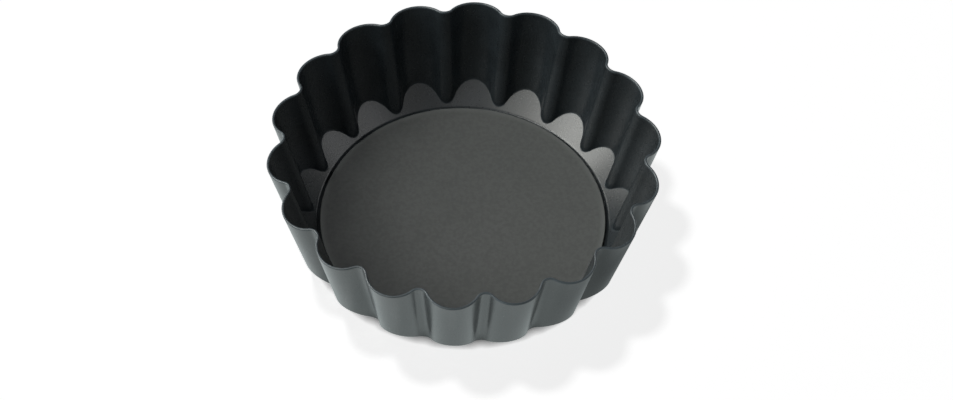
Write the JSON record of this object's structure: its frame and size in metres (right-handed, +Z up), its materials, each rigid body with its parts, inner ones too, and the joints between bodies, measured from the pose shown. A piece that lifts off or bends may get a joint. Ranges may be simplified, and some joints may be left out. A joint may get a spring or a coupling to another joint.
{
  "type": "loose-bottom cake pan",
  "caption": "Deep round cake pan in dark coated sheet steel: a fluted, flared ring with a bevelled foot and inward seat flange, and a flat loose bottom that is pushed up to free the bake.",
  "frame": {"origin": "on the table under the centre of the pan, in the plane of the flange's underside", "axes": "+Z up along the pan's axis, the way the loose bottom lifts out; +X through a flute crest"},
  "size_m": [0.0998, 0.0984, 0.0297],
  "materials": {
    "ring_coating": "satin dark grey non-stick coating",
    "base_coating": "matte dark warm grey non-stick coating"
  },
  "bodies": {
    "ring": {"fluted_ring": "ring_coating"},
    "base": {"loose_base": "base_coating"}
  },
  "joints": [
    {"name": "base_lift", "type": "slide", "parent": "ring", "child": "base", "axis": [0, 0, 1], "range_m": [0, 0.04]}
  ]
}
